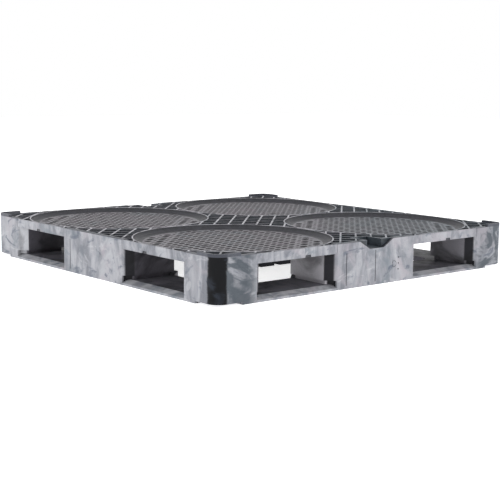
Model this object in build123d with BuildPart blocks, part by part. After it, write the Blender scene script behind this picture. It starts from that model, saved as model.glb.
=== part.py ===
from build123d import *
import os

# Square four-drum pallet, four-way entry, on nine legs and a perimeter base.
# Millimetres, +Z up.  The origin is on the floor under the middle of the pallet.
# The notched leg faces look along -Y and +Y.

# --- Driving dimensions --------------------------------------------------------------
SIDE = 1219.0               # 48 in square
DECK_TOP = 135.0            # floor to the rib tops
LIP_HEIGHT = 8.0            # corner lips above the deck
LIP_LENGTH = 85.0           # along each side from a corner
CORNER_RADIUS = 38.0        # vertical corners of the pallet
CORNER_FACE = 142.0         # outer face of a corner leg
MIDDLE_FACE = 327.0         # outer face of a middle leg
LEG_DEPTH = 170.0           # legs and base rails, inward from the side
LEAD_IN = 28.0              # 45 degree fork lead-in on legs, and the width of the base bevel
LEG_EDGE_RADIUS = 9.0       # rounded vertical edges beside each fork opening
LEG_PROUD = 2.0             # legs stand this much in front of the deck beams
SKIRT = 12.0                # outer wall of a leg, full height
WALL = 8.0                  # inner walls and ceiling of a leg
NECK_INSET = 10.0           # step-in just above the base
NECK_TOP = 28.0
BEAM_HEIGHT = 28.0          # deck beams and ribs
BEAM_WALL = 8.0
RIB = 6.0                   # deck rib thickness
RIB_PITCH = 92.0            # between structural ribs, across the diagonal
RIB_COUNT = 17              # ribs each way
DISH_RADIUS = 298.5         # seat of a 597 mm drum
DISH_DEPTH = 14.0
DISH_SKIN = 5.0
DISH_WALL = 4.0             # ring round each dish
BASE_TOP = 16.0             # thickness of the base rails
BASE_EDGE = 7.0             # height of the rail's outer edge, below the bevel
PAD_REACH = 55.0            # base pads behind the middle legs

# --- Small features --------------------------------------------------------------------
NOTCH_TOP_WIDTH = 145.0     # trapezoid hand notch in the front and back legs
NOTCH_BOTTOM_WIDTH = 60.0
NOTCH_DEPTH = 25.0
POCKET_REACH = 62.0         # upright-walled pocket in the deck behind the notch
STRAP_NOTCH = (22.0, 7.0)   # width and height, under each deck beam
STRAP_OFFSETS = (-277.0, 327.0)   # along each side, from its middle
GROOVE_X = -126.0           # flow groove on every middle leg's face
PARTING_X = -4.5            # parting groove under each notch
GROOVE_SIZE = (3.0, 95.0)
GROOVE_BOTTOM = 10.0
DATE_RING = (77.0, 55.5, 10.0)    # x, z and radius of the mould-date ring
DATE_DOTS = (95.5, 38.0, 18.0)    # x, lowest z and spacing of its three dots
DOT_RADIUS = 2.6
MARK_DEPTH = 0.8
MARK_WIDTH = 1.6
NOTCHED = ("front", "back")
RELIEF = 7.0                # the corners are this much off the floor
RELIEF_LENGTH = 92.5        # along each side from a corner
FOOT_CHAMFER = 2.0
UNDERCUT_WIDTH = 24.0       # drain slots under the centre foot
UNDERCUT_HEIGHT = 6.0
BOSS_RADIUS = 11.0          # round every screw, in the legs and in the deck
BOSS_HEIGHT = 19.0          # deck bosses, up from the beams' lower edge
SCREW_SHANK = 3.0           # radius
SCREW_HEAD = 6.5            # radius
SCREW_HEAD_HEIGHT = 4.0
DECK_SCREW_REACH = 14.0     # into the deck
BASE_SCREW_REACH = 30.0     # into the leg
HEAD_FLOOR = 11.0           # the base screws' heads sit below this
SCREW_SPREAD = 70.0
CORNER_DECK_SCREW = 540.0   # from the middle lines, in the corner cells of the deck
MIDDLE_DECK_SCREW = (20.0, 500.0)   # one on each of the two ribs that cross over a middle leg
CORE_SIZE = 40.0            # cored-out cells under the base rails
CORE_PITCH = 46.0
CORE_DEPTH = 11.0
CORE_GRID = (6, 3)

# --- Worked out from them ---------------------------------------------------------------
HALF = SIDE / 2
BEAM_BOTTOM = DECK_TOP - BEAM_HEIGHT
MIDDLE_HALF = MIDDLE_FACE / 2
CEILING = BEAM_BOTTOM - WALL
DISH_FLOOR = DECK_TOP - DISH_DEPTH
DISH_CENTRE = HALF / 2
LEG_MID = HALF - (LEG_DEPTH + SKIRT) / 2      # middle of a leg's hollow, from the centre
OPENING_MID = (MIDDLE_HALF + HALF - CORNER_FACE) / 2
CORE_ROW = -HALF + (LEAD_IN + LEG_DEPTH) / 2
SIGNS = (-1, 1)
SIDES = {"front": 0, "right": 90, "back": 180, "left": 270}
CORNERS = {"front_left": 0, "front_right": 90, "back_right": 180, "back_left": 270}

os.makedirs("parts", exist_ok=True)


def finish(part, name):
    """Label a finished piece and write its STEP file."""
    part.label = name
    export_step(part, f"parts/{name}.step")


def side_plane(turn, distance):
    """The upright plane that faces out of one side, this far from the middle."""
    along = Vector(1, 0, 0).rotate(Axis.Z, turn)
    outward = Vector(0, -1, 0).rotate(Axis.Z, turn)
    return Plane(origin=outward * distance, x_dir=along, z_dir=outward)


def screw_spots(centre, spread):
    """Four screw positions in a square round the middle of a leg."""
    return [(centre[0] + sx * spread / 2, centre[1] + sy * spread / 2) for sx in SIGNS for sy in SIGNS]


# Plan outlines of the front-left corner leg, the front middle leg and the centre leg.
CORNER_POINTS = [
    (-HALF, -HALF),
    (-HALF + CORNER_FACE, -HALF),
    (-HALF + LEG_DEPTH, -HALF + LEAD_IN),
    (-HALF + LEG_DEPTH, -HALF + LEG_DEPTH),
    (-HALF + LEAD_IN, -HALF + LEG_DEPTH),
    (-HALF, -HALF + CORNER_FACE),
]
MIDDLE_POINTS = [
    (-MIDDLE_HALF, -HALF),
    (MIDDLE_HALF, -HALF),
    (MIDDLE_HALF + LEAD_IN, -HALF + LEAD_IN),
    (MIDDLE_HALF + LEAD_IN, -HALF + LEG_DEPTH),
    (-MIDDLE_HALF - LEAD_IN, -HALF + LEG_DEPTH),
    (-MIDDLE_HALF - LEAD_IN, -HALF + LEAD_IN),
]
NOTCH_POINTS = [
    (-NOTCH_TOP_WIDTH / 2, DECK_TOP),
    (-NOTCH_BOTTOM_WIDTH / 2, DECK_TOP - NOTCH_DEPTH),
    (NOTCH_BOTTOM_WIDTH / 2, DECK_TOP - NOTCH_DEPTH),
    (NOTCH_TOP_WIDTH / 2, DECK_TOP),
]
CENTRE_POINTS = [
    (-MIDDLE_HALF, -MIDDLE_HALF),
    (MIDDLE_HALF, -MIDDLE_HALF),
    (MIDDLE_HALF, MIDDLE_HALF),
    (-MIDDLE_HALF, MIDDLE_HALF),
]
FACE_END = -HALF + CORNER_FACE
CORNER_OUTLINE = (
    CORNER_POINTS,
    [
        ((-HALF, -HALF), CORNER_RADIUS),
        ((FACE_END, -HALF), LEG_EDGE_RADIUS),
        ((-HALF, FACE_END), LEG_EDGE_RADIUS),
    ],
)
MIDDLE_OUTLINE = (
    MIDDLE_POINTS,
    [((MIDDLE_HALF, -HALF), LEG_EDGE_RADIUS), ((-MIDDLE_HALF, -HALF), LEG_EDGE_RADIUS)],
)
CENTRE_OUTLINE = (CENTRE_POINTS, [(point, LEG_EDGE_RADIUS) for point in CENTRE_POINTS])

# Screw positions of the same three legs.
CORNER_SCREWS = screw_spots((-LEG_MID, -LEG_MID), SCREW_SPREAD)
MIDDLE_SCREWS = screw_spots((0, -LEG_MID), SCREW_SPREAD)
MIDDLE_SCREWS += [(sx * 2 * SCREW_SPREAD, -LEG_MID) for sx in SIGNS]
CENTRE_SCREWS = screw_spots((0, 0), 3 * SCREW_SPREAD)
CORNER_DECK_SCREWS = [(-CORNER_DECK_SCREW, -CORNER_DECK_SCREW)]
MIDDLE_DECK_SCREWS = [(sx * MIDDLE_DECK_SCREW[0], -MIDDLE_DECK_SCREW[1]) for sx in SIGNS]
CENTRE_DECK_SCREWS = screw_spots((0, 0), 2 * SCREW_SPREAD)


def draw(outline, inset=0.0):
    """The plan of a leg, its outer corners rounded, shrunk by the inset."""
    points, rounds = outline
    Polygon(*points, align=None)
    for point, radius in rounds:
        fillet(vertices().sort_by_distance(point)[:1], radius)
    if inset:
        offset(amount=-inset, kind=Kind.INTERSECTION)


def leg(outline, skirts, base_spots, deck_spots, turn):
    """A hollow leg: flared walls, a necked foot, a ceiling and full-height outer skirts.

    skirts holds (x0, x1, y0, y1, z0, z1) for each stretch of outer wall.
    """
    ground = Plane.XY.rotated((0, 0, turn))
    with BuildPart() as shell:
        with BuildSketch(ground.offset(NECK_TOP)):
            draw(outline)
        extrude(amount=BEAM_BOTTOM - NECK_TOP)
        with BuildSketch(ground.offset(BASE_TOP)):
            draw(outline, NECK_INSET)
        extrude(amount=NECK_TOP - BASE_TOP)
        with BuildSketch(ground.offset(BASE_TOP)):
            draw(outline, NECK_INSET + WALL)
        extrude(amount=CEILING - BASE_TOP, mode=Mode.SUBTRACT)
        with BuildSketch(ground.offset(NECK_TOP + WALL)):
            draw(outline, WALL)
        extrude(amount=CEILING - NECK_TOP - WALL, mode=Mode.SUBTRACT)
        for x0, x1, y0, y1, z0, z1 in skirts:
            with BuildSketch(ground.offset(z0)):
                draw(outline)
                with Locations(((x0 + x1) / 2, (y0 + y1) / 2)):
                    Rectangle(x1 - x0, y1 - y0, mode=Mode.INTERSECT)
            extrude(amount=z1 - z0)
        with BuildSketch(ground.offset(BASE_TOP)):
            with Locations(*base_spots):
                Circle(BOSS_RADIUS)
        extrude(amount=CEILING - BASE_TOP)
        with BuildSketch(ground.offset(BASE_TOP)):
            with Locations(*base_spots):
                Circle(SCREW_SHANK)
        extrude(amount=BASE_SCREW_REACH, mode=Mode.SUBTRACT)
        with BuildSketch(ground.offset(CEILING)):
            with Locations(*deck_spots):
                Circle(SCREW_SHANK)
        extrude(amount=WALL, mode=Mode.SUBTRACT)
    return shell.part


# --- Shared plans -------------------------------------------------------------------------
with BuildSketch() as skirt_plan:
    with PolarLocations(0, 4):
        with Locations((0, -HALF + SKIRT / 2)):
            Rectangle(MIDDLE_FACE, SKIRT)
        with Locations((-HALF + CORNER_FACE / 2, -HALF + SKIRT / 2)):
            Rectangle(CORNER_FACE, SKIRT)
        with Locations((-HALF + SKIRT / 2, -HALF + CORNER_FACE / 2)):
            Rectangle(SKIRT, CORNER_FACE)

with BuildSketch() as deck_plan:
    Rectangle(SIDE - 2 * LEG_PROUD, SIDE - 2 * LEG_PROUD)
    add(skirt_plan.sketch, mode=Mode.SUBTRACT)

with BuildSketch() as rib_plan:
    for slant in (45, -45):
        with Locations(Location((0, 0), slant)):
            with GridLocations(0, RIB_PITCH, 1, RIB_COUNT):
                Rectangle(2 * SIDE, RIB)
    add(deck_plan.sketch, mode=Mode.INTERSECT)

with BuildSketch() as dish_plan:
    with GridLocations(2 * DISH_CENTRE, 2 * DISH_CENTRE, 2, 2):
        Circle(DISH_RADIUS)

with BuildSketch() as screw_plan:
    with PolarLocations(0, 4):
        with Locations(*CORNER_SCREWS, *MIDDLE_SCREWS):
            Circle(SCREW_SHANK)


# --- Corner legs --------------------------------------------------------------------------
lip_end = -HALF + LIP_LENGTH
relief_end = -HALF + RELIEF_LENGTH
inner = -HALF + SKIRT
stretches = [
    (-HALF, relief_end, RELIEF, DECK_TOP),
    (-HALF, lip_end, DECK_TOP, DECK_TOP + LIP_HEIGHT),
    (relief_end, FACE_END, 0, DECK_TOP),
]
corner_skirts = [(start, end, -HALF, inner, foot, top) for start, end, foot, top in stretches]
corner_skirts += [(-HALF, inner, start, end, foot, top) for start, end, foot, top in stretches]
for name, turn in CORNERS.items():
    corner_leg = leg(CORNER_OUTLINE, corner_skirts, CORNER_SCREWS, CORNER_DECK_SCREWS, turn)
    finish(corner_leg, f"{name}_leg")

# --- Middle legs, the front and back ones notched and marked -------------------------------
middle_skirts = [(-MIDDLE_HALF, MIDDLE_HALF, -HALF, inner, 0, DECK_TOP)]
for name, turn in SIDES.items():
    plain_leg = leg(MIDDLE_OUTLINE, middle_skirts, MIDDLE_SCREWS, MIDDLE_DECK_SCREWS, turn)
    face = side_plane(turn, HALF)
    with BuildPart() as middle_leg:
        add(plain_leg)
        if name in NOTCHED:
            with BuildSketch(face):
                Polygon(*NOTCH_POINTS, align=None)
            extrude(amount=-SKIRT, mode=Mode.SUBTRACT)
            with BuildSketch(face):
                ring_x, ring_z, ring_radius = DATE_RING
                with Locations((ring_x, ring_z)):
                    Circle(ring_radius)
                    Circle(ring_radius - MARK_WIDTH, mode=Mode.SUBTRACT)
                dot_x, dot_z, dot_step = DATE_DOTS
                with Locations(*[(dot_x, dot_z + i * dot_step) for i in range(3)]):
                    Circle(DOT_RADIUS)
            extrude(amount=-MARK_DEPTH, mode=Mode.SUBTRACT)
        grooves = [GROOVE_X, PARTING_X] if name in NOTCHED else [GROOVE_X]
        with BuildSketch(face):
            with Locations(*[(x, GROOVE_BOTTOM + GROOVE_SIZE[1] / 2) for x in grooves]):
                Rectangle(*GROOVE_SIZE)
        extrude(amount=-MARK_DEPTH, mode=Mode.SUBTRACT)
    finish(middle_leg.part, f"{name}_middle_leg")

# --- Centre leg and its foot ---------------------------------------------------------------
finish(leg(CENTRE_OUTLINE, [], CENTRE_SCREWS, CENTRE_DECK_SCREWS, 0), "centre_leg")

with BuildPart() as centre_foot:
    with BuildSketch():
        draw(CENTRE_OUTLINE)
    extrude(amount=BASE_TOP)
    chamfer(faces().sort_by(Axis.Z)[-1].edges(), FOOT_CHAMFER)
    with BuildSketch():
        with GridLocations(0, MIDDLE_FACE / 4, 1, 3):
            Rectangle(MIDDLE_FACE, UNDERCUT_WIDTH)
        with GridLocations(MIDDLE_FACE / 4, 0, 3, 1):
            Rectangle(UNDERCUT_WIDTH, MIDDLE_FACE)
    extrude(amount=UNDERCUT_HEIGHT, mode=Mode.SUBTRACT)
    with BuildSketch():
        with Locations(*CENTRE_SCREWS):
            Circle(SCREW_SHANK)
    extrude(amount=BASE_TOP, mode=Mode.SUBTRACT)
    with BuildSketch(Plane.XY.offset(HEAD_FLOOR)):
        with Locations(*CENTRE_SCREWS):
            Circle(SCREW_HEAD)
    extrude(amount=-HEAD_FLOOR, mode=Mode.SUBTRACT)
finish(centre_foot.part, "centre_foot")

# --- Perimeter base -------------------------------------------------------------------------
rail_inner = -HALF + LEG_DEPTH
with BuildPart() as base_frame:
    with BuildSketch():
        Rectangle(SIDE, SIDE)
        fillet(vertices(), CORNER_RADIUS)
    extrude(amount=BASE_TOP)
    top_face = faces().sort_by(Axis.Z)[-1]
    chamfer(top_face.edges(), LEAD_IN, BASE_TOP - BASE_EDGE, reference=top_face)
    with BuildSketch():
        Rectangle(2 * rail_inner, 2 * rail_inner)
        fillet(vertices(), CORNER_RADIUS)
        with PolarLocations(0, 4):
            with Locations((0, rail_inner + PAD_REACH / 2)):
                Trapezoid(MIDDLE_FACE + 2 * LEAD_IN, PAD_REACH, 45, mode=Mode.SUBTRACT)
    extrude(amount=BASE_TOP, mode=Mode.SUBTRACT)
    with BuildSketch():
        add(skirt_plan.sketch)
    extrude(amount=BASE_TOP, mode=Mode.SUBTRACT)
    with BuildSketch():
        with PolarLocations(0, 4):
            with Locations((-HALF + RELIEF_LENGTH / 2, -HALF + RELIEF_LENGTH / 2)):
                Rectangle(RELIEF_LENGTH, RELIEF_LENGTH)
    extrude(amount=RELIEF, mode=Mode.SUBTRACT)
    with BuildSketch():
        with PolarLocations(0, 4):
            with Locations((OPENING_MID, CORE_ROW), (-OPENING_MID, CORE_ROW)):
                with GridLocations(CORE_PITCH, CORE_PITCH, *CORE_GRID):
                    Rectangle(CORE_SIZE, CORE_SIZE)
    extrude(amount=CORE_DEPTH, mode=Mode.SUBTRACT)
    with BuildSketch():
        add(screw_plan.sketch)
    extrude(amount=BASE_TOP, mode=Mode.SUBTRACT)
    with BuildSketch():
        with PolarLocations(0, 4):
            with Locations(*CORNER_SCREWS, *MIDDLE_SCREWS):
                Circle(SCREW_HEAD)
    extrude(amount=HEAD_FLOOR, mode=Mode.SUBTRACT)
finish(base_frame.part, "base_frame")


# --- Top deck: beams, crossed diagonal ribs and four drum dishes ----------------------------
with BuildPart() as top_deck:
    with BuildSketch(Plane.XY.offset(BEAM_BOTTOM)):
        add(deck_plan.sketch)
        offset(amount=-BEAM_WALL, kind=Kind.INTERSECTION, mode=Mode.SUBTRACT)
        add(rib_plan.sketch)
    extrude(amount=BEAM_HEIGHT)
    with BuildSketch(Plane.XY.offset(DISH_FLOOR)):
        add(dish_plan.sketch)
    extrude(amount=DISH_DEPTH, mode=Mode.SUBTRACT)
    with BuildSketch(Plane.XY.offset(DISH_FLOOR)):
        add(dish_plan.sketch)
    extrude(amount=-DISH_SKIN)
    with BuildSketch(Plane.XY.offset(BEAM_BOTTOM)):
        with GridLocations(2 * DISH_CENTRE, 2 * DISH_CENTRE, 2, 2):
            Circle(DISH_RADIUS + DISH_WALL)
            Circle(DISH_RADIUS, mode=Mode.SUBTRACT)
    extrude(amount=BEAM_HEIGHT)
    with BuildSketch(Plane.XY.offset(BEAM_BOTTOM)):
        with PolarLocations(0, 4):
            with Locations(*CORNER_DECK_SCREWS, *MIDDLE_DECK_SCREWS):
                Circle(BOSS_RADIUS)
        with Locations(*CENTRE_DECK_SCREWS):
            Circle(BOSS_RADIUS)
    extrude(amount=BOSS_HEIGHT)
    for name in NOTCHED:
        behind_leg = side_plane(SIDES[name], HALF - SKIRT)
        with BuildSketch(behind_leg):
            with Locations((0, DECK_TOP - BEAM_HEIGHT / 2)):
                Rectangle(NOTCH_BOTTOM_WIDTH + 2 * RIB, BEAM_HEIGHT)
        extrude(amount=-POCKET_REACH - RIB)
        with BuildSketch(behind_leg):
            with Locations((0, DECK_TOP - NOTCH_DEPTH / 2)):
                Rectangle(NOTCH_BOTTOM_WIDTH, NOTCH_DEPTH)
        extrude(amount=-POCKET_REACH, mode=Mode.SUBTRACT)
    with BuildSketch(Plane.XY.offset(BEAM_BOTTOM)):
        for turn in SIDES.values():
            mirrored = 1 if turn % 180 == 0 else -1
            with Locations(Location((0, 0), turn)):
                with Locations(*[(mirrored * x, -HALF + BEAM_WALL) for x in STRAP_OFFSETS]):
                    Rectangle(STRAP_NOTCH[0], 2 * BEAM_WALL)
    extrude(amount=STRAP_NOTCH[1], mode=Mode.SUBTRACT)
    with BuildSketch(Plane.XY.offset(BEAM_BOTTOM)):
        with PolarLocations(0, 4):
            with Locations(*CORNER_DECK_SCREWS, *MIDDLE_DECK_SCREWS):
                Circle(SCREW_SHANK)
        with Locations(*CENTRE_DECK_SCREWS):
            Circle(SCREW_SHANK)
    extrude(amount=DECK_SCREW_REACH, mode=Mode.SUBTRACT)
finish(top_deck.part, "top_deck")

# --- Screws: the base into the legs, and the legs up into the deck ------------------------------
with BuildPart() as base_screws:
    with BuildSketch(Plane.XY.offset(HEAD_FLOOR)):
        add(screw_plan.sketch)
        with Locations(*CENTRE_SCREWS):
            Circle(SCREW_SHANK)
    extrude(amount=BASE_TOP - HEAD_FLOOR + BASE_SCREW_REACH)
    with BuildSketch(Plane.XY.offset(HEAD_FLOOR)):
        with PolarLocations(0, 4):
            with Locations(*CORNER_SCREWS, *MIDDLE_SCREWS):
                Circle(SCREW_HEAD)
        with Locations(*CENTRE_SCREWS):
            Circle(SCREW_HEAD)
    extrude(amount=-SCREW_HEAD_HEIGHT)
finish(base_screws.part, "base_screws")

with BuildPart() as deck_screws:
    with BuildSketch(Plane.XY.offset(CEILING)):
        with PolarLocations(0, 4):
            with Locations(*CORNER_DECK_SCREWS, *MIDDLE_DECK_SCREWS):
                Circle(SCREW_SHANK)
        with Locations(*CENTRE_DECK_SCREWS):
            Circle(SCREW_SHANK)
    extrude(amount=WALL + DECK_SCREW_REACH)
    with BuildSketch(Plane.XY.offset(CEILING)):
        with PolarLocations(0, 4):
            with Locations(*CORNER_DECK_SCREWS, *MIDDLE_DECK_SCREWS):
                Circle(SCREW_HEAD)
        with Locations(*CENTRE_DECK_SCREWS):
            Circle(SCREW_HEAD)
    extrude(amount=-SCREW_HEAD_HEIGHT)
finish(deck_screws.part, "deck_screws")
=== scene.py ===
# %% [markdown]
# A square plastic pallet for four drums.  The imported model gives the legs, the base and the
# screws at their true sizes.  This script keeps those as they are, paints them as marbled
# recycled plastic, and builds the deck again with its full detail: every rib, four dished
# seats and the holes moulded through them.  Everything is in metres, with +Z up.

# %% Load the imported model
import math

import bmesh
import bpy
import numpy as np
from mathutils import Matrix, Vector


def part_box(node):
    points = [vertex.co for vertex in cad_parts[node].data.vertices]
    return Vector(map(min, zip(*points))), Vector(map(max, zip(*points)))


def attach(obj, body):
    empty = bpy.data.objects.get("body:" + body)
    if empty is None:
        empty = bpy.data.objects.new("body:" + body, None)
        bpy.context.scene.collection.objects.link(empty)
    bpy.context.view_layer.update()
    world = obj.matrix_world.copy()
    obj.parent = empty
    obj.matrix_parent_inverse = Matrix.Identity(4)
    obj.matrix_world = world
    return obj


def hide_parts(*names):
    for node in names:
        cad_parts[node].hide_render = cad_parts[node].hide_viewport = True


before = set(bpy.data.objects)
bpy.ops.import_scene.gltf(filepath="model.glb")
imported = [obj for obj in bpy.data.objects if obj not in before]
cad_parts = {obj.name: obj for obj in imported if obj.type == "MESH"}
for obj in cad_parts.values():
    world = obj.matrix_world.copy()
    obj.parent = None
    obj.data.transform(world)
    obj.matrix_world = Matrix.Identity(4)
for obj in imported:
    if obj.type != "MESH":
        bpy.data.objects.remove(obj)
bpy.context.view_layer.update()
deck_low, deck_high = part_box("top_deck")
leg_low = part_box("front_middle_leg")[0]
print("deck box", deck_low, deck_high)

# %% [markdown]
# The deck repeats a few lengths.  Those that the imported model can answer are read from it,
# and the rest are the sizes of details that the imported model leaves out, such as the holes.

# %% Sizes of the deck
MM = 0.001
DECK_TOP = deck_high.z
BEAM_FOOT = deck_low.z
BEAM_FACE = deck_high.x                 # outer face of the beams over the openings
HALF = -leg_low.y                       # outer face of the legs
SKIRT = 12 * MM                         # thickness of a leg's outer wall
BEAM_WALL = 8 * MM
BEAM_SKIN = 4 * MM                      # beams are thinner where the dishes come close
LEG_BACK = HALF - SKIRT                 # the deck's face behind a leg
MIDDLE_HALF = 163.5 * MM                # half a middle leg's face
CORNER_INNER = HALF - 142 * MM          # where a corner leg's face ends
LEAD_IN = 28 * MM                       # slanted stretch of a leg beside each opening
RIB_PITCH = 46 * MM
RIB_REACH = 18                          # ribs each side of the middle one
DISH_CENTRE = HALF / 2
DISH_RADIUS = 298.5 * MM
RING = 4 * MM                           # thickness of the ring round a dish
FLOOR_TOP = DECK_TOP - 14 * MM          # a dish is this deep
FLOOR_FOOT = FLOOR_TOP - 5 * MM         # and its floor this thick
FIELD_RADIUS = 270 * MM                 # holes are moulded inside this
HOLE_PITCH = 25.4 * MM
HOLE_RADIUS = 8.9 * MM
BIG_HOLE_RADIUS = 11.2 * MM
POCKET_HALF = 35 * MM
POCKET_BACK = LEG_BACK - 68 * MM
ROOT2 = math.sqrt(2)
print("half side", HALF, "dish centre", DISH_CENTRE)


# %% [markdown]
# Every new piece goes through one small function.  It takes points and faces as arrays,
# makes the mesh, and lets the piece ride on the pallet's only body.

# %% Make a piece from arrays
def make_piece(name, points, faces, finish, slot):
    """A mesh object from an (n, 3) array of points and a list of faces, in place at the origin."""
    mesh = bpy.data.meshes.new(name)
    mesh.from_pydata(np.asarray(points, float).tolist(), [], faces)
    mesh.validate()
    mesh.update()
    piece = bpy.data.objects.new(name, mesh)
    bpy.context.scene.collection.objects.link(piece)
    mesh.materials.append(finish)
    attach(piece, "root")
    print(name, len(mesh.vertices), "points", len(mesh.polygons), "faces")
    return piece


def grid_faces(rows, columns, wrap_rows, wrap_columns, start=0):
    """Four-sided faces of a rows by columns grid of points: each joins a point, its next in the
    row, the one above that and the one above itself.  Wrapping closes the grid on itself."""
    i, j = np.meshgrid(np.arange(rows if wrap_rows else rows - 1),
                       np.arange(columns if wrap_columns else columns - 1), indexing="ij")
    up, on = (i + 1) % rows, (j + 1) % columns
    quads = np.stack([i * columns + j, i * columns + on, up * columns + on, up * columns + j], -1)
    return (quads.reshape(-1, 4) + start).tolist()


# %% [markdown]
# The plastic looks like a mix of two or three greys that were never quite blended, as recycled
# plastic often does.  Noise stretched along Z gives upright streaks, broad noise gives clouds,
# and noise with strong distortion gives dark and pale swirls.  All of them read Object
# coordinates, so the pattern stays fixed to the plastic.  A painted texture could also do it,
# but noise covers every side in the same way.

# %% Helpers for the finishes
class Finish:
    """A node material, with short ways to add the nodes that these finishes share."""

    def __init__(self, name):
        self.material = bpy.data.materials.new(name)
        self.material.use_nodes = True
        self.nodes = self.material.node_tree.nodes
        self.links = self.material.node_tree.links
        self.shader = self.nodes["Principled BSDF"]
        self.place = self.nodes.new("ShaderNodeTexCoord").outputs["Object"]

    def feed(self, socket, value):
        """Links the value to the socket if it is a node's output, and sets it there if not."""
        if isinstance(value, bpy.types.NodeSocket):
            self.links.new(value, socket)
        else:
            socket.default_value = value

    def mapped(self, scale, turn=(0, 0, 0)):
        """Object coordinates, turned and stretched."""
        node = self.nodes.new("ShaderNodeMapping")
        self.links.new(self.place, node.inputs["Vector"])
        node.inputs["Scale"].default_value = scale
        node.inputs["Rotation"].default_value = turn
        return node.outputs[0]

    def noise(self, where, scale, detail=4.0, rough=0.55, twist=0.0):
        """Noise from 0 to 1 at the given coordinates."""
        node = self.nodes.new("ShaderNodeTexNoise")
        self.links.new(where, node.inputs["Vector"])
        settings = {"Scale": scale, "Detail": detail, "Roughness": rough, "Distortion": twist}
        for key, value in settings.items():
            node.inputs[key].default_value = value
        return node.outputs["Fac"]

    def span(self, value, low, high, out_low=0.0, out_high=1.0):
        """A smooth step: out_low below low, out_high above high, and an S-curve between."""
        node = self.nodes.new("ShaderNodeMapRange")
        node.interpolation_type = "SMOOTHSTEP"
        self.links.new(value, node.inputs["Value"])
        limits = {"From Min": low, "From Max": high, "To Min": out_low, "To Max": out_high}
        for key, number in limits.items():
            node.inputs[key].default_value = number
        return node.outputs["Result"]

    def combine(self, kind, first, second):
        """Two numbers put together by a math node, such as ADD or MULTIPLY."""
        node = self.nodes.new("ShaderNodeMath")
        node.operation = kind
        self.feed(node.inputs[0], first)
        self.feed(node.inputs[1], second)
        return node.outputs[0]

    def blend(self, share, first, second, kind="MIX"):
        """The first colour where share is 0 and the second where it is 1."""
        node = self.nodes.new("ShaderNodeMix")
        node.data_type = "RGBA"
        node.blend_type = kind
        self.feed(node.inputs[0], share)
        self.feed(node.inputs[6], first)
        self.feed(node.inputs[7], second)
        return node.outputs[2]

    def axes(self):
        """Object coordinates as three numbers."""
        node = self.nodes.new("ShaderNodeSeparateXYZ")
        self.links.new(self.place, node.inputs[0])
        return node.outputs

    def bump(self, height, depth, strength):
        """Makes the surface look uneven, by depth metres at full height."""
        node = self.nodes.new("ShaderNodeBump")
        node.inputs["Strength"].default_value = strength
        node.inputs["Distance"].default_value = depth
        self.links.new(height, node.inputs["Height"])
        self.links.new(node.outputs[0], self.shader.inputs["Normal"])


def colour(red, green, blue):
    """A colour given as it looks on a screen, from 0 to 255, as the linear numbers Blender uses."""
    screen = np.array([red, green, blue]) / 255
    linear = np.where(screen <= 0.04045, screen / 12.92, ((screen + 0.055) / 1.055) ** 2.4)
    return (*linear.tolist(), 1.0)
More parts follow.
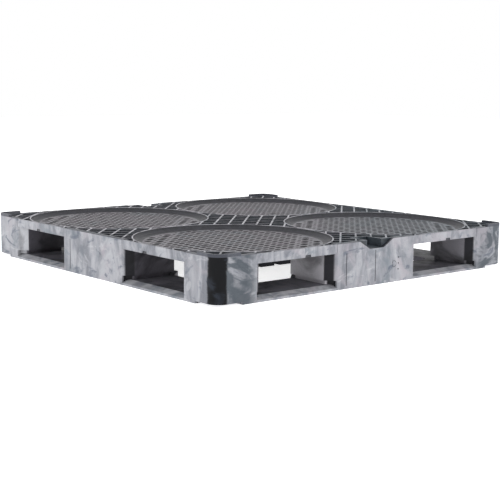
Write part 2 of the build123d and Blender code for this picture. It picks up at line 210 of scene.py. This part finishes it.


# %% [markdown]
# The sides are pale, with painted shade on the lead-ins beside the openings and on the faces
# inside them, and a painted highlight on one lead-in.  Splitting each leg into painted regions
# would need more meshes, so the finish tells them apart by how far a point lies from the middle
# of the pallet.

# %% The marbled side plastic, with painted shade
def marbled_side_with_painted_shade(name, pale_to, flare_from, flare, inner, marked=False):
    """Pale blue-grey plastic with upright streaks, mauve clouds and dark curls.  It is pale on faces
    further than pale_to from the middle.  Nearer than flare_from it takes the flare colour, which
    paints the light and shade falling on the slanted lead-in, and past the lead-in the inner
    colour, which paints the shade inside.  marked darkens the sunk marks, as painted shade, and
    the top edge."""
    f = Finish(name)
    x, y, z = f.axes()
    streak = f.noise(f.mapped((15, 15, 5.0)), 1.0, 5.0, 0.62, 1.2)
    fine_streak = f.noise(f.mapped((80, 80, 14)), 1.0, 4.0, 0.6, 0.8)
    cloud = f.noise(f.mapped((6, 6, 7), turn=(0.4, 0.2, 0.7)), 1.0, 4.0, 0.58, 1.6)
    curl = f.noise(f.mapped((7, 7, 12), turn=(0.3, 0.8, 0.5)), 1.0, 5.0, 0.55, 3.0)
    tone = f.blend(f.span(streak, 0.30, 0.68), colour(112, 114, 121), colour(164, 165, 170))
    tone = f.blend(f.span(fine_streak, 0.52, 0.74, 0.0, 0.25), tone, colour(104, 108, 119))
    tone = f.blend(f.span(cloud, 0.50, 0.70, 0.0, 0.6), tone, colour(163, 157, 163))
    tone = f.blend(f.span(cloud, 0.46, 0.28, 0.0, 0.65), tone, colour(104, 114, 122))
    tone = f.blend(f.span(curl, 0.57, 0.70, 0.0, 0.75), tone, colour(86, 93, 106))
    tone = f.blend(f.span(curl, 0.42, 0.30, 0.0, 0.45), tone, colour(184, 184, 188))

    # Painted shade on the rounded corners of the pallet, where they face between the two lamps:
    # all are darker, and the one between front and left is darkest, with dark swirls of the plastic
    # in it.  The corner legs' front and back faces carry darker swirls of the plastic.
    size_x, size_y = f.combine("ABSOLUTE", x, 0.0), f.combine("ABSOLUTE", y, 0.0)
    waver = f.combine("MULTIPLY", f.combine("SUBTRACT", curl, 0.5), 0.02)
    every = f.combine("ADD", f.combine("ADD", size_x, size_y), waver)
    first = f.combine("SUBTRACT", waver, f.combine("ADD", x, y))
    corner_shade_and_swirl = f.blend(f.span(curl, 0.46, 0.66), colour(7, 8, 12), colour(34, 38, 46))
    ends = f.combine("MULTIPLY", f.span(size_x, CORNER_INNER - 40 * MM, CORNER_INNER + 40 * MM),
                 f.span(size_y, HALF - 4 * MM, HALF - 2 * MM))
    tone = f.blend(f.combine("MULTIPLY", ends, f.span(curl, 0.40, 0.58, 0.9, 0.25)), tone, colour(66, 73, 80))
    tone = f.blend(f.span(every, 2 * HALF - 41 * MM, 2 * HALF - 27 * MM, 0.0, 0.5), tone, colour(84, 90, 100))
    tone = f.blend(f.span(first, 2 * HALF - 42 * MM, 2 * HALF - 34 * MM, 0.0, 1.0), tone, corner_shade_and_swirl)

    # Painted shade: faces turned away from the sides are darker, by an amount that varies with the clouds.
    depth = f.combine("MAXIMUM", size_x, size_y)
    dim = f.span(cloud, 0.34, 0.66, 0.4, 1.2)
    shadow = f.blend(dim, colour(0, 0, 0), colour(255, 255, 255))
    lead_in = f.blend(1.0, colour(*flare), shadow, "MULTIPLY")
    within = f.blend(1.0, colour(*inner), shadow, "MULTIPLY")
    # The rounded corners of the pallet are as deep as a lead-in, so they are kept out of this.
    off_corner = f.span(every, 2 * HALF - 60 * MM, 2 * HALF - 44 * MM, 1.0, 0.0)
    tone = f.blend(f.combine("MULTIPLY", off_corner, f.span(depth, pale_to, flare_from)), tone, lead_in)
    past_lead_in = f.span(depth, HALF - LEAD_IN + 2 * MM, HALF - LEAD_IN - 2 * MM)
    tone = f.blend(f.combine("MULTIPLY", off_corner, past_lead_in), tone, within)
    # Painted shade in the sunk marks in the middle of each face, and a darker band just under the deck's top
    # height.
    if marked:
        flat = f.span(f.combine("MINIMUM", size_x, size_y), MIDDLE_HALF - 10 * MM, MIDDLE_HALF - 12 * MM)
        sunk = f.span(depth, HALF - 0.2 * MM, HALF - 0.6 * MM)
        tone = f.blend(f.combine("MULTIPLY", f.combine("MULTIPLY", flat, sunk), 0.8),
                       tone, colour(38, 40, 46))
        tone = f.blend(f.span(z, DECK_TOP - 1.0 * MM, DECK_TOP - 0.3 * MM, 0.0, 0.85),
                       tone, colour(70, 72, 80))
    grain = f.noise(f.mapped((1, 1, 1)), 420.0, 2.0, 0.5)
    tone = f.blend(0.18, tone, f.blend(grain, colour(80, 82, 90), colour(255, 255, 255)), "OVERLAY")
    f.feed(f.shader.inputs["Base Color"], tone)
    f.feed(f.shader.inputs["Roughness"], f.span(streak, 0.3, 0.7, 0.42, 0.58))
    f.shader.inputs["Specular IOR Level"].default_value = 0.14
    scuffs = f.noise(f.mapped((900, 900, 30)), 1.0, 3.0, 0.6)
    f.bump(f.combine("ADD", scuffs, f.noise(f.mapped((1, 1, 1)), 55.0, 4.0)), 0.0006, 0.35)
    return f.material


# The painted light and shade inside the legs differ from leg to leg: (lead-in, inner faces).
# PALE on a lead-in is a painted highlight, and the rest is painted shade.  The ones on the right
# and at the back are guesses.
DARK, DEEP, DIM = (28, 28, 33), (88, 86, 93), (98, 97, 104)
SOFT, MIDDLE, PALE = (142, 140, 147), (190, 188, 194), (186, 187, 192)
LEG_PAINTED_SHADING = {
    "back_left_leg": (PALE, DEEP),
    "front_left_leg": (DIM, DIM),
    "front_right_leg": (DARK, SOFT),
    "back_right_leg": (DIM, DIM),
    "left_middle_leg": (DARK, DEEP),
    "right_middle_leg": (DARK, DIM),
    "front_middle_leg": (DARK, MIDDLE),
    "back_middle_leg": (DARK, MIDDLE),
    "centre_leg": (DARK, DARK),
    "centre_foot": (DARK, DARK),
}
EDGE_PALE, EDGE_DARK = HALF - 3.5 * MM, HALF - 9 * MM
leg_finishes = {leg: marbled_side_with_painted_shade("plastic_with_painted_shade_of_" + leg, EDGE_PALE, EDGE_DARK, flare, inner, marked=True)
                for leg, (flare, inner) in LEG_PAINTED_SHADING.items()}
# The base and the beams are painted darker, as shade, on their faces further in from the sides.
base_plastic = marbled_side_with_painted_shade("marbled_base_plastic_with_painted_shade", HALF - 25 * MM, HALF - 27 * MM, DARK, DIM)
beam_plastic = marbled_side_with_painted_shade("marbled_beam_plastic_with_painted_shade", BEAM_FACE - 0.9 * MM, BEAM_FACE - 1.5 * MM, DARK, DIM)
print("leg finishes", len(leg_finishes))


# %% [markdown]
# The deck is darker than the sides.  Down in the cells it is painted almost black, as painted
# shade, and the tops of the ribs are pale, in patches.  A step on height gives both, and its
# place is a number that each piece can set for itself.

# %% The deck plastic, with painted shade in the cells
def deck_finish(name, dark, light, top_colour, wear, wear_from, patchy, wear_to=None):
    """Mottled plastic, dark on its lower faces as painted shade, that turns to the top colour on
    its highest faces.  The change runs from the first given height to the second, or to just
    under the deck's top, and patchy says how much of it is lost in patches."""
    f = Finish(name)
    x, y, z = f.axes()
    cloud = f.noise(f.mapped((6, 6, 6), turn=(0, 0, 0.6)), 1.0, 4.0, 0.55, 1.8)
    fine = f.noise(f.mapped((60, 60, 60)), 1.0, 4.0, 0.6, 0.6)
    patch = f.noise(f.mapped((28, 28, 28)), 1.0, 2.0, 0.5)
    top = wear_to if wear_to is not None else DECK_TOP - 0.45 * MM
    high = f.span(z, wear_from, top)
    on_top = f.combine("MULTIPLY", high, f.span(patch, 0.36, 0.56, wear * (1 - patchy), wear))
    tone = f.blend(f.span(fine, 0.3, 0.7), dark, light)
    tone = f.blend(on_top, tone, top_colour)
    tone = f.blend(f.combine("MULTIPLY", high, f.span(cloud, 0.52, 0.72, 0.0, 0.4)),
                   tone, colour(112, 96, 110))
    tone = f.blend(f.combine("MULTIPLY", high, f.span(cloud, 0.48, 0.30, 0.0, 0.4)),
                   tone, colour(86, 102, 112))
    cool = f.span(f.combine("SUBTRACT", x, y), 0.1, 0.75, 0.0, 0.4)
    tone = f.blend(f.combine("MULTIPLY", high, cool), tone, colour(78, 96, 104))
    f.feed(f.shader.inputs["Base Color"], tone)
    f.feed(f.shader.inputs["Roughness"], f.span(fine, 0.3, 0.7, 0.42, 0.62))
    f.bump(fine, 0.0005, 0.3)
    return f.material


# Each of these is dark below its top faces as painted shade: in the deck's cells, in the holes of the dish
# floors, in the pockets and on the walls round the deck.
rib_plastic = deck_finish("deck_rib_plastic", colour(30, 33, 38), colour(52, 57, 64),
                          colour(178, 176, 183), 0.95, DECK_TOP - 1.4 * MM, 0.75)
cross_plastic = deck_finish("deck_cross_rib_plastic", colour(30, 33, 38), colour(52, 57, 64),
                            colour(118, 117, 125), 0.7, DECK_TOP - 1.7 * MM, 0.6)
ring_plastic = deck_finish("dish_plastic", colour(30, 31, 37), colour(56, 56, 63),
                           colour(184, 182, 190), 0.9, DECK_TOP - 1.0 * MM, 0.6)
field_plastic = deck_finish("dish_field_plastic", colour(8, 9, 11), colour(18, 19, 22),
                            colour(101, 98, 104), 1.0, FLOOR_TOP - 0.9 * MM, 0.0, FLOOR_TOP - 0.5 * MM)
wall_plastic = deck_finish("pocket_plastic", colour(36, 42, 48), colour(56, 64, 72),
                           colour(110, 110, 118), 0.6, DECK_TOP - 1.0 * MM, 0.5)


# %% [markdown]
# The screws are guessed to be zinc plated steel.  They are mostly hidden inside the legs, so a
# plain grained metal is enough.

# %% The zinc plated screws
def zinc_finish(name):
    """Grey metal with a fine turned grain."""
    f = Finish(name)
    grain = f.noise(f.mapped((300, 300, 1500)), 1.0, 3.0)
    f.feed(f.shader.inputs["Base Color"], f.blend(grain, colour(150, 152, 156), colour(205, 206, 210)))
    f.shader.inputs["Metallic"].default_value = 1.0
    f.feed(f.shader.inputs["Roughness"], f.span(grain, 0.3, 0.7, 0.28, 0.45))
    return f.material


zinc = zinc_finish("zinc_plated_steel")

# %% [markdown]
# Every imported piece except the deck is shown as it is, with one of these finishes on it.

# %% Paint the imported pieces
for node_name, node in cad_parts.items():
    if node_name.endswith("screws"):
        paint = zinc
    elif node_name == "base_frame":
        paint = base_plastic
    elif node_name == "top_deck":
        continue
    else:
        paint = leg_finishes[node_name]
    node.data.materials.clear()
    node.data.materials.append(paint)
print("painted", len(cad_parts) - 1, "packed pieces; the deck is built again below")


# %% [markdown]
# The beams run between the legs over each opening, with a small notch under each for a strap.
# A beam is one outline, drawn as it looks from outside and given the wall's thickness.  The
# walls behind the legs are the same thing without a notch.

# %% Beams and walls round the deck
STRAPS = (-277 * MM, 327 * MM)          # strap notches along each side, from its middle
STRAP_HALF, STRAP_HEIGHT = 11 * MM, 7 * MM
STRAP_SLOPE = 1.5 * MM                  # how far a notch's ends lean in


def wall_outline(start, end, notches):
    """Points along a wall from start to end, seen from outside: along the foot from left to
    right, up and over each notch on the way, then back along the top."""
    foot = [(start, BEAM_FOOT)]
    top = BEAM_FOOT + STRAP_HEIGHT
    for middle in notches:
        left, right = middle - STRAP_HALF, middle + STRAP_HALF
        foot += [(left, BEAM_FOOT), (left + STRAP_SLOPE, top),
                 (right - STRAP_SLOPE, top), (right, BEAM_FOOT)]
    return foot + [(end, BEAM_FOOT), (end, DECK_TOP), (start, DECK_TOP)]


def turn_about_z(points, angle):
    """Points turned about Z: x becomes x cos a - y sin a, and y becomes x sin a + y cos a."""
    c, s = math.cos(angle), math.sin(angle)
    return points @ np.array([[c, s, 0], [-s, c, 0], [0, 0, 1]])


def prism_faces(n, start):
    """Faces of a prism whose n front points are followed by its n back points."""
    around = np.arange(n)
    ahead = (around + 1) % n
    sides = np.stack([around, around + n, ahead + n, ahead], 1) + start
    return [(around + start).tolist(), (around[::-1] + n + start).tolist()] + sides.tolist()


def upright_slab(outline, face, depth, turn, start):
    """An outline in the plane of a side, at distance face from the middle, made depth thick
    inward, and turned about Z by the angle turn.  Point (a, z) goes to (a, -face, z) first."""
    flat = np.array(outline, float)
    front = np.stack([flat[:, 0], np.full(len(flat), -face), flat[:, 1]], 1)
    back = front + np.array([0, depth, 0])
    return turn_about_z(np.concatenate([front, back]), turn), prism_faces(len(flat), start)


def gather(parts):
    """Joins pieces of (function, arguments) into one array of points and one list of faces."""
    points, faces, start = [], [], 0
    for maker, arguments in parts:
        more, joined = maker(*arguments, start)
        points.append(more)
        faces += joined
        start += len(more)
    return np.concatenate(points), faces


beam_parts = []
wall_parts = []
for quarter in range(4):
    angle = quarter * math.pi / 2
    straps = STRAPS if quarter % 2 == 0 else tuple(-p for p in STRAPS)
    for low, high in ((-CORNER_INNER, -MIDDLE_HALF), (MIDDLE_HALF, CORNER_INNER)):
        inside = [p for p in straps if low < p < high]
        beam_parts.append((upright_slab, (wall_outline(low, high, inside), BEAM_FACE, BEAM_SKIN, angle)))
    for low, high in ((-LEG_BACK, -CORNER_INNER + BEAM_WALL), (CORNER_INNER - BEAM_WALL, LEG_BACK),
                      (-MIDDLE_HALF - BEAM_WALL, MIDDLE_HALF + BEAM_WALL)):
        if quarter % 2 == 0 and low > -LEG_BACK and high < LEG_BACK:
            continue
        wall_parts.append((upright_slab, (wall_outline(low, high, []), LEG_BACK, BEAM_WALL, angle)))
deck_beams = make_piece("deck_beams", *gather(beam_parts), beam_plastic, "side_plastic")
softened = deck_beams.modifiers.new("rounded_edges", "BEVEL")
softened.width = 1.0 * MM
softened.segments = 2
softened.limit_method = "ANGLE"
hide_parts("top_deck")


# %% [markdown]
# Behind each hand notch is an upright-walled pocket, with room for fingers.  It is made of two
# cheeks, a back and a floor, and two more walls carry on from it along the leg.

# %% Pockets behind the hand notches
NOTCH_HALF = 30 * MM                    # half the foot of a notch, and of its pocket
NOTCH_FLOOR = DECK_TOP - 25 * MM
POCKET_WALL = 6 * MM


def rectangle(left, right, low, high):
    """Four corners, anticlockwise from the lower left."""
    return [(left, low), (right, low), (right, high), (left, high)]


pocket_depth = LEG_BACK - POCKET_BACK
for quarter in (0, 2):
    angle = quarter * math.pi / 2
    outside = NOTCH_HALF + POCKET_WALL
    cheek_end = MIDDLE_HALF + BEAM_WALL
    for left, right in ((-outside, -NOTCH_HALF), (NOTCH_HALF, outside)):
        wall_parts.append((upright_slab, (rectangle(left, right, BEAM_FOOT, DECK_TOP),
                                          LEG_BACK, pocket_depth, angle)))
    for left, right in ((-cheek_end, -outside), (outside, cheek_end)):
        wall_parts.append((upright_slab, (rectangle(left, right, BEAM_FOOT, DECK_TOP),
                                          LEG_BACK, BEAM_WALL, angle)))
    wall_parts.append((upright_slab, (rectangle(-NOTCH_HALF, NOTCH_HALF, BEAM_FOOT, NOTCH_FLOOR),
                                      LEG_BACK, pocket_depth, angle)))
    wall_parts.append((upright_slab, (rectangle(-NOTCH_HALF, NOTCH_HALF, NOTCH_FLOOR, DECK_TOP),
                                      POCKET_BACK + POCKET_WALL, POCKET_WALL, angle)))
make_piece("deck_walls", *gather(wall_parts), wall_plastic, "deck")


# %% [markdown]
# Two sets of ribs cross at 45 degrees to the sides.  A rib is a short profile carried along
# its line.  It stops at the rims of the dishes, at the walls and at the pockets, and each of
# its eight long edges stops at its own place there, so the ends are mitred to the ring.  Under
# the dishes the ribs go on, only as tall as the room below the floor.

# %% Where a rib starts and stops
LEAST_RUN = 3 * MM                      # shorter stretches of rib are left out


def reach(t):
    """Half the length of a diagonal line at sideways offset t, to the walls round the deck:
    root two times the wall's distance, less the size of t.  Lines that end over an opening go
    on into the beam, which stands further out than the wall behind a leg."""
    wall = LEG_BACK - 1 * MM
    along = np.abs(wall - ROOT2 * np.abs(t))
    over_opening = (along > MIDDLE_HALF + BEAM_WALL) & (along < CORNER_INNER - BEAM_WALL)
    return ROOT2 * np.where(over_opening, BEAM_FACE - BEAM_SKIN / 2, wall) - np.abs(t)


def chord(t, middle):
    """Half the chord that a line at offset t cuts from a dish whose middle is at offset middle:
    the root of the ring's radius squared less the distance squared, or nothing."""
    ring = DISH_RADIUS + RING / 2
    return np.sqrt(np.maximum(ring**2 - (t - middle)**2, 0.0))


def rib_runs(t, lead):
    """(tall runs, low runs) along a diagonal line, each a pair of arrays of start and end for the
    edges at offsets t.  lead is the offset of the rib's own middle line."""
    far = DISH_CENTRE * ROOT2
    ring = DISH_RADIUS + RING / 2
    ends = reach(t)
    crosses_ends = abs(lead) < ring
    crosses_side = abs(abs(lead) - far) < ring
    h_end = chord(t, 0.0)
    h_side = chord(np.abs(t), far)
    low = []
    stops = [-ends]
    if crosses_ends:
        low.append((-far - h_end, -far + h_end))
        stops += [-far - h_end, -far + h_end]
    if crosses_side:
        low.append((-h_side, h_side))
        stops += [-h_side, h_side]
    if crosses_ends:
        low.append((far - h_end, far + h_end))
        stops += [far - h_end, far + h_end]
    stops.append(ends)
    return list(zip(stops[::2], stops[1::2])), low


def without_pockets(runs, t, rotated):
    """The tall runs, cut where they would cross a pocket.  In a pocket |x| is below its half
    width and |y| is above its back, which is a stretch of s on a diagonal line."""
    kept = []
    for first, last in runs:
        pieces = [(first, last)]
        for end in (-1, 1):
            if rotated:
                # on the turned ribs x = (t - s)/root2 and y = (s + t)/root2
                a, b = t - ROOT2 * POCKET_HALF, t + ROOT2 * POCKET_HALF
                edge = ROOT2 * POCKET_BACK - end * t
            else:
                # on the others x = (s + t)/root2 and y = (s - t)/root2
                a, b = -t - ROOT2 * POCKET_HALF, -t + ROOT2 * POCKET_HALF
                edge = ROOT2 * POCKET_BACK + end * t
            low, high = (np.maximum(a, edge), b) if end > 0 else (a, np.minimum(b, -edge))
            cut = []
            for p, q in pieces:
                m_low, m_high = low.mean(), high.mean()
                if m_high <= m_low or m_high <= p.mean() or m_low >= q.mean():
                    cut.append((p, q))
                    continue
                if m_low > p.mean():
                    cut.append((p, low))
                if m_high < q.mean():
                    cut.append((high, q))
            pieces = cut
        kept += pieces
    return [(p, q) for p, q in kept if (q - p).min() > LEAST_RUN]


# %% [markdown]
# With the starts and stops known, each rib is its section drawn at both ends and joined up.

# %% Build the ribs
def rib_profile(top, foot):
    """(offsets, heights) round a rib's section, anticlockwise seen along it: slightly drafted
    sides and rounded top edges."""
    width = np.array([-2.6, 2.6, 3.0, 2.6, 1.7, -1.7, -2.6, -3.0]) * MM
    side, edge = top - 1.4 * MM, top - 0.4 * MM
    height = np.array([foot, foot, side, edge, top, top, edge, side])
    return width, height


def rib_bar(first, last, t, height, turn, start):
    """A bar from first to last along s with its section at offsets t: x = (s + t)/root2 and
    y = (s - t)/root2, then turned about Z."""
    s = np.concatenate([first, last])
    tt = np.concatenate([t, t])
    points = np.stack([(s + tt) / ROOT2, (s - tt) / ROOT2, np.concatenate([height, height])], 1)
    return turn_about_z(points, turn), prism_faces(len(t), start)


def rib_set(name, turn, top, finish):
    """All the ribs of one direction, tall between the dishes and low under them."""
    parts = []
    for number in range(-RIB_REACH, RIB_REACH + 1):
        lead = number * RIB_PITCH
        width, tall = rib_profile(top, BEAM_FOOT)
        low_width, low = rib_profile(FLOOR_FOOT + 0.5 * MM, BEAM_FOOT)
        t = lead + width
        runs, under = rib_runs(t, lead)
        for first, last in without_pockets(runs, t, turn != 0.0):
            parts.append((rib_bar, (first, last, t, tall, turn)))
        for first, last in under:
            if (last - first).min() > LEAST_RUN:
                parts.append((rib_bar, (first, last, lead + low_width, low, turn)))
    return make_piece(name, *gather(parts), finish, "deck")


# The two sets stop a little below the rims, each at its own height, so no tops coincide.
rib_set("deck_ribs", 0.0, DECK_TOP - 0.1 * MM, rib_plastic)
rib_set("deck_cross_ribs", math.pi / 2, DECK_TOP - 0.3 * MM, cross_plastic)


# %% [markdown]
# Each drum stands in a shallow dish.  It is round, so one profile is swept round its middle:
# the rim ring, the sloping wall, the smooth band inside it and the underside.

# %% Turn the four dishes
DISH_STEPS = 192


def dish_profile():
    """(radius, height) round the dish's section, anticlockwise: down the inner wall, in along
    the floor, back out under it, down and up the ring's outside."""
    r, top, floor = DISH_RADIUS, DECK_TOP, FLOOR_TOP
    return np.array([
        (r + RING, BEAM_FOOT), (r + RING, top - 0.7 * MM), (r + RING - 0.7 * MM, top), (r + 0.6 * MM, top),
        (r - 0.1 * MM, top - 0.7 * MM), (r - 1.6 * MM, floor + 7.5 * MM), (r - 4.2 * MM, floor + 3.6 * MM),
        (r - 8 * MM, floor + 1.1 * MM), (r - 13 * MM, floor), (FIELD_RADIUS + 1.2 * MM, floor),
        (FIELD_RADIUS + 0.3 * MM, floor - 0.4 * MM), (FIELD_RADIUS, floor - 1.2 * MM),
        (FIELD_RADIUS, FLOOR_FOOT), (r, FLOOR_FOOT), (r, BEAM_FOOT)])


def turned_dish(centre, start):
    """The profile swept round a centre: x = r cos a + centre, y = r sin a + centre, z = z."""
    section = dish_profile()
    angle = np.linspace(0, 2 * np.pi, DISH_STEPS, endpoint=False)
    x = section[:, :1] * np.cos(angle) + centre[0]
    y = section[:, :1] * np.sin(angle) + centre[1]
    z = np.broadcast_to(section[:, 1:], x.shape)
    points = np.stack([x, y, z], -1).reshape(-1, 3)
    faces = grid_faces(len(section), DISH_STEPS, True, True, start)
    return points, [face[::-1] for face in faces]


CENTRES = [(sx * DISH_CENTRE, sy * DISH_CENTRE) for sx in (-1, 1) for sy in (-1, 1)]
dish_parts = [(turned_dish, (centre,)) for centre in CENTRES]
make_piece("dish_rings", *gather(dish_parts), ring_plastic, "deck")


# %% [markdown]
# The floor of a dish is a skin with a square pattern of holes, which would let it drain.  It is
# made of square cells that share their edges, each with its own round hole.  Near two ends of a
# dish every other hole is larger, and the ones between are small.

# %% Pierce the dish floors
HOLE_SIDES = 16
TIP_FROM = 180 * MM                     # the hole sizes alternate beyond this, along one diagonal
CORE_ANGLES = np.arange(HOLE_SIDES) * 2 * np.pi / HOLE_SIDES + np.pi / 4


def cell_centres():
    """(i, j, hole radii) of the cells in a dish, i and j in whole steps from its middle.  A
    radius of 0 is a plain cell."""
    steps = int(FIELD_RADIUS / HOLE_PITCH) + 2
    i, j = np.meshgrid(np.arange(-steps, steps + 1), np.arange(-steps, steps + 1), indexing="ij")
    i, j = i.ravel(), j.ravel()
    nearest = np.hypot(np.maximum(np.abs(i) - 0.5, 0), np.maximum(np.abs(j) - 0.5, 0)) * HOLE_PITCH
    farthest = np.hypot(np.abs(i) + 0.5, np.abs(j) + 0.5) * HOLE_PITCH
    keep = (nearest < FIELD_RADIUS + 1 * MM) & (farthest < DISH_RADIUS + RING / 2)
    i, j = i[keep], j[keep]
    out = np.hypot(i, j) * HOLE_PITCH
    tip = np.abs(i - j) / ROOT2 * HOLE_PITCH > TIP_FROM
    alternate = np.where((i + j) % 2 == 0, BIG_HOLE_RADIUS, 0.6 * HOLE_RADIUS)
    radius = np.where(tip, alternate, HOLE_RADIUS)
    radius = np.where(out + radius > FIELD_RADIUS - 2 * MM, 0.0, radius)
    return i, j, radius


def pierced_floor(centre, odd_hole, start):
    """Square cells of side HOLE_PITCH with a round hole in each.  On top and underneath, a strip
    joins the square's outline to the circle at the same angles, and the wall joins the circles."""
    i, j, radius = cell_centres()
    odd = (i == odd_hole[0]) & (j == odd_hole[1])
    radius = np.where(odd, BIG_HOLE_RADIUS, radius)
    ray = np.stack([np.cos(CORE_ANGLES), np.sin(CORE_ANGLES)], 1)
    square = ray / np.abs(ray).max(1, keepdims=True) * HOLE_PITCH / 2
    middle = np.stack([i, j], 1)[:, None, :] * HOLE_PITCH + np.array(centre)
    edge = middle + square
    hole = middle + ray * radius[:, None, None]
    top, foot = FLOOR_TOP - 0.4 * MM, FLOOR_FOOT + 0.3 * MM
    loops = [(edge, top), (hole, top), (hole, foot), (edge, foot)]
    cells = np.stack([np.concatenate([loop, np.full(loop.shape[:2] + (1,), z)], -1)
                      for loop, z in loops], 1)
    count = len(i)
    k = np.arange(HOLE_SIDES)
    on = (k + 1) % HOLE_SIDES
    low = np.arange(3)[:, None] * HOLE_SIDES
    high = low + HOLE_SIDES
    open_cell = np.stack([low + k, low + on, high + on, high + k], -1).reshape(-1, 4)
    base = (np.arange(count) * 4 * HOLE_SIDES)[:, None, None]
    pierced = radius > 0
    quads = (open_cell[None] + base[pierced]).reshape(-1, 4)
    whole = np.stack([k, 3 * HOLE_SIDES + k[::-1]])
    plates = (whole[None] + base[~pierced]).reshape(-1, HOLE_SIDES)
    taken = set(zip(i.tolist(), j.tolist()))
    quarter = HOLE_SIDES // 4
    rims = []
    for side, (di, dj) in enumerate(((0, 1), (-1, 0), (0, -1), (1, 0))):
        alone = np.array([(a + di, b + dj) not in taken for a, b in zip(i.tolist(), j.tolist())])
        a = (side * quarter + np.arange(quarter)) % HOLE_SIDES
        b = (a + 1) % HOLE_SIDES
        wall = np.stack([a, 3 * HOLE_SIDES + a, 3 * HOLE_SIDES + b, b], 1)
        rims.append((wall[None] + base[alone]).reshape(-1, 4))
    faces = np.concatenate([quads] + rims)
    return cells.reshape(-1, 3), (faces + start).tolist() + (plates + start).tolist()


# A larger hole lies off the middle of each dish, given in whole steps of the pattern.
ODD_HOLES = {(-1, -1): (-5, -1), (1, -1): (0, -1), (-1, 1): (-4, -4), (1, 1): (-1, -5)}
floors = [(pierced_floor, ((sx * DISH_CENTRE, sy * DISH_CENTRE), hole))
          for (sx, sy), hole in ODD_HOLES.items()]
dish_floors = make_piece("dish_floors", *gather(floors), field_plastic, "deck")


def weld(piece):
    """Joins points that fall on the same place, so that neighbouring cells share their edges."""
    work = bmesh.new()
    work.from_mesh(piece.data)
    bmesh.ops.remove_doubles(work, verts=work.verts, dist=0.01 * MM)
    work.to_mesh(piece.data)
    work.free()
    print(piece.name, "welded to", len(piece.data.vertices), "points")


weld(dish_floors)

# %% [markdown]
# The pallet stands on a plain pale floor in even studio light: one large soft lamp faces each
# of the two near sides, and a weaker one hangs over the deck.  The floor gives off a little
# light of its own, so that it stays pale beneath the pallet.

# %% Floor and lights
floor_mesh = bpy.data.meshes.new("studio_floor")
FLOOR_REACH = 14.0
corners = np.array([(-1, -1, 0), (1, -1, 0), (1, 1, 0), (-1, 1, 0)]) * FLOOR_REACH
floor_mesh.from_pydata(corners.tolist(), [], [(0, 1, 2, 3)])
studio_floor = bpy.data.objects.new("studio_floor", floor_mesh)
bpy.context.scene.collection.objects.link(studio_floor)
pale = Finish("pale_floor")
pale.feed(pale.shader.inputs["Base Color"],
          pale.blend(pale.noise(pale.mapped((3, 3, 3)), 1.0), colour(250, 250, 250), colour(254, 254, 254)))
pale.shader.inputs["Roughness"].default_value = 0.9
pale.shader.inputs["Specular IOR Level"].default_value = 0.1
pale.shader.inputs["Emission Color"].default_value = (1, 1, 1, 1)
pale.shader.inputs["Emission Strength"].default_value = 0.7
floor_mesh.materials.append(pale.material)


def soft_lamp(name, place, target, width, height, power):
    """A rectangular lamp at a place, turned to face a target."""
    data = bpy.data.lights.new(name, "AREA")
    data.shape = "RECTANGLE"
    data.size, data.size_y, data.energy = width, height, power
    lamp = bpy.data.objects.new(name, data)
    bpy.context.scene.collection.objects.link(lamp)
    lamp.location = place
    lamp.rotation_euler = (Vector(target) - Vector(place)).to_track_quat("-Z", "Y").to_euler()
    return lamp


soft_lamp("left_softbox", (-4.0, 0.4, 1.5), (0, 0, 0), 2.6, 2.0, 14)
soft_lamp("front_softbox", (0.6, -4.0, 1.5), (0, 0, 0), 2.6, 2.0, 18)
soft_lamp("overhead_softbox", (0, 0, 4.0), (0, 0, 0), 4.0, 4.0, 6)
world = bpy.data.worlds.new("studio")
bpy.context.scene.world = world
world.use_nodes = True
world.node_tree.nodes["Background"].inputs["Color"].default_value = (1, 1, 1, 1)
world.node_tree.nodes["Background"].inputs["Strength"].default_value = 1.0
bpy.context.scene.view_settings.view_transform = "Standard"

# %% [markdown]
# The camera looks along one diagonal from a little above the deck, with a long lens, so that
# the near corner comes forward and both faces run away from it.

# %% Camera
CAMERA_PLACE = (-2.4035, -2.8705, 0.586)
YAW, PITCH, ROLL = (math.radians(a) for a in (49.82, 8.43, 0.59))
look = np.array([math.cos(YAW) * math.cos(PITCH), math.sin(YAW) * math.cos(PITCH), -math.sin(PITCH)])
right = np.array([math.sin(YAW), -math.cos(YAW), 0.0])
above = np.cross(right, look)
level = math.cos(ROLL) * right + math.sin(ROLL) * above
upright = math.cos(ROLL) * above - math.sin(ROLL) * right
lens = bpy.data.cameras.new("camera")
lens.lens = 80.2
lens.sensor_width = 36.0
camera = bpy.data.objects.new("camera", lens)
bpy.context.scene.collection.objects.link(camera)
turned = np.eye(4)
turned[:3, 0], turned[:3, 1], turned[:3, 2], turned[:3, 3] = level, upright, -look, CAMERA_PLACE
camera.matrix_world = Matrix(turned.tolist())
bpy.context.scene.camera = camera
print("camera at", CAMERA_PLACE)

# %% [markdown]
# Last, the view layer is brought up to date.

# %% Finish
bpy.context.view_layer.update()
